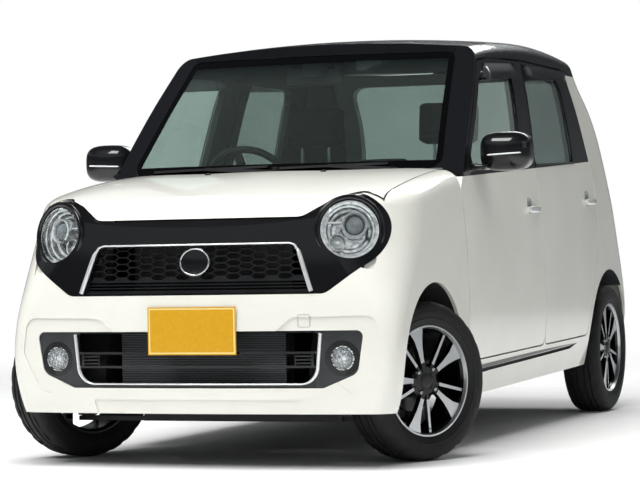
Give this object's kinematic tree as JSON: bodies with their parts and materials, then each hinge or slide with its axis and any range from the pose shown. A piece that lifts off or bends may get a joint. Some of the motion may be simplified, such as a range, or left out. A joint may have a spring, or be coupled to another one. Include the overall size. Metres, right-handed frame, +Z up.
{
  "type": "small five-door city car",
  "caption": "Two-box city car with a white body, black roof and face mask, round lamps, turning and steering wheels, and opening doors, bonnet and tailgate",
  "frame": {"origin": "on the ground, under the middle of the car's overall box", "axes": "+X to the car's left side, -Y forwards, +Z up"},
  "size_m": [1.828, 3.3951, 1.6099],
  "materials": {
    "body_white": "pearl white lacquer",
    "gloss_black": "gloss black lacquer",
    "window_glass": "tinted",
    "lens_clear": "clear moulded",
    "lamp_chrome": "vacuum coated",
    "lamp_red": "clear red moulded",
    "grille_black": "moulded satin",
    "plate_yellow": "painted",
    "radiator_alloy": "finned",
    "cast_metal": "as cast",
    "chassis_steel": "black dipped",
    "tank_plastic": "blow moulded",
    "exhaust_steel": "dull",
    "underbody": "sealed",
    "trim_black": "moulded grain",
    "liner_black": "moulded rough",
    "cabin_plastic": "moulded grain",
    "seat_fabric": "woven",
    "tyre_rubber": "moulded",
    "wheel_alloy": "machined face over black"
  },
  "bodies": {
    "root": {"side_frame_left": "body_white", "side_frame_right": "body_white", "roof_panel": "gloss_black", "windscreen": "window_glass", "front_bumper": "body_white", "front_mask": "gloss_black", "front_fenders": "body_white", "rear_bumper": "body_white", "tail_lamps": "lamp_red", "upper_grille": "grille_black", "lower_grille": "grille_black", "headlamps": "lamp_chrome", "headlamp_lenses": "lens_clear", "fog_lamps": "lamp_chrome", "front_plate": "plate_yellow", "floor_pan": "underbody", "bulkhead": "trim_black", "front_wheelhouses": "liner_black", "radiator": "radiator_alloy", "engine_block": "cast_metal", "front_subframe": "chassis_steel", "front_struts": "chassis_steel", "rear_axle": "chassis_steel", "fuel_tank": "tank_plastic", "exhaust": "exhaust_steel", "dashboard": "cabin_plastic", "front_seats": "seat_fabric", "rear_seat": "seat_fabric", "wipers": "trim_black", "rear_view_mirror": "trim_black"},
    "steering_wheel": {"steering_wheel": "cabin_plastic"},
    "front_door_left": {"front_door_left": "body_white", "front_door_glass_left": "window_glass", "door_mirror_left": "gloss_black"},
    "rear_door_left": {"rear_door_left": "body_white", "rear_door_glass_left": "window_glass"},
    "front_door_right": {"front_door_right": "body_white", "front_door_glass_right": "window_glass", "door_mirror_right": "gloss_black"},
    "rear_door_right": {"rear_door_right": "body_white", "rear_door_glass_right": "window_glass"},
    "tailgate": {"tailgate": "body_white", "tailgate_glass": "window_glass", "rear_plate": "plate_yellow"},
    "bonnet": {"bonnet": "body_white"},
    "knuckle_left": {"knuckle_left": "cast_metal"},
    "knuckle_right": {"knuckle_right": "cast_metal"},
    "front_wheel_left": {"tyre_front_left": "tyre_rubber", "wheel_front_left": "wheel_alloy"},
    "front_wheel_right": {"tyre_front_right": "tyre_rubber", "wheel_front_right": "wheel_alloy"},
    "rear_wheel_left": {"tyre_rear_left": "tyre_rubber", "wheel_rear_left": "wheel_alloy"},
    "rear_wheel_right": {"tyre_rear_right": "tyre_rubber", "wheel_rear_right": "wheel_alloy"}
  },
  "joints": [
    {"name": "steer_left", "type": "hinge", "parent": "root", "child": "knuckle_left", "pos_m": [0.64, -1.2275, 0.281], "axis": [0, 0, 1], "range_deg": [-8, 62]},
    {"name": "steer_right", "type": "hinge", "parent": "root", "child": "knuckle_right", "pos_m": [-0.64, -1.2275, 0.281], "axis": [0, 0, 1], "range_deg": [-8, 62]},
    {"name": "steering_turn", "type": "hinge", "parent": "root", "child": "steering_wheel", "pos_m": [-0.348, -0.273, 0.982], "axis": [0, 0.9063, 0.4226], "range_deg": [-136, 1054]},
    {"name": "spin_front_left", "type": "hinge", "parent": "knuckle_left", "child": "front_wheel_left", "pos_m": [0.65114, -1.23317, 0.281], "axis": [0.891, -0.454, 0], "continuous": true},
    {"name": "spin_rear_left", "type": "hinge", "parent": "root", "child": "rear_wheel_left", "pos_m": [0.6525, 1.2925, 0.281], "axis": [1, 0, 0], "continuous": true},
    {"name": "spin_front_right", "type": "hinge", "parent": "knuckle_right", "child": "front_wheel_right", "pos_m": [-0.65114, -1.22182, 0.281], "axis": [0.891, -0.454, 0], "continuous": true},
    {"name": "spin_rear_right", "type": "hinge", "parent": "root", "child": "rear_wheel_right", "pos_m": [-0.6525, 1.2925, 0.281], "axis": [1, 0, 0], "continuous": true},
    {"name": "front_door_left_hinge", "type": "hinge", "parent": "root", "child": "front_door_left", "pos_m": [0.7294, -0.83463, 0.66], "axis": [0, -0.0674, 0.9977], "range_deg": [-68, 0]},
    {"name": "rear_door_left_hinge", "type": "hinge", "parent": "root", "child": "rear_door_left", "pos_m": [0.7332, 0.20186, 0.66], "axis": [0, -0.0538, 0.9986], "range_deg": [-75, 0]},
    {"name": "front_door_right_hinge", "type": "hinge", "parent": "root", "child": "front_door_right", "pos_m": [-0.7294, -0.83463, 0.66], "axis": [0, -0.0674, 0.9977], "range_deg": [0, 68]},
    {"name": "rear_door_right_hinge", "type": "hinge", "parent": "root", "child": "rear_door_right", "pos_m": [-0.7332, 0.20186, 0.66], "axis": [0, -0.0538, 0.9986], "range_deg": [0, 75]},
    {"name": "bonnet_hinge", "type": "hinge", "parent": "root", "child": "bonnet", "pos_m": [0, -0.862, 1.028], "axis": [-1, 0, 0], "range_deg": [0, 55]},
    {"name": "tailgate_hinge", "type": "hinge", "parent": "root", "child": "tailgate", "pos_m": [0, 1.342, 1.532], "axis": [1, 0, 0], "range_deg": [0, 80]}
  ],
  "couplings": [
    {"joint": "steer_right", "follows": "steer_left", "ratio": 1},
    {"joint": "steering_turn", "follows": "steer_left", "ratio": 17}
  ]
}
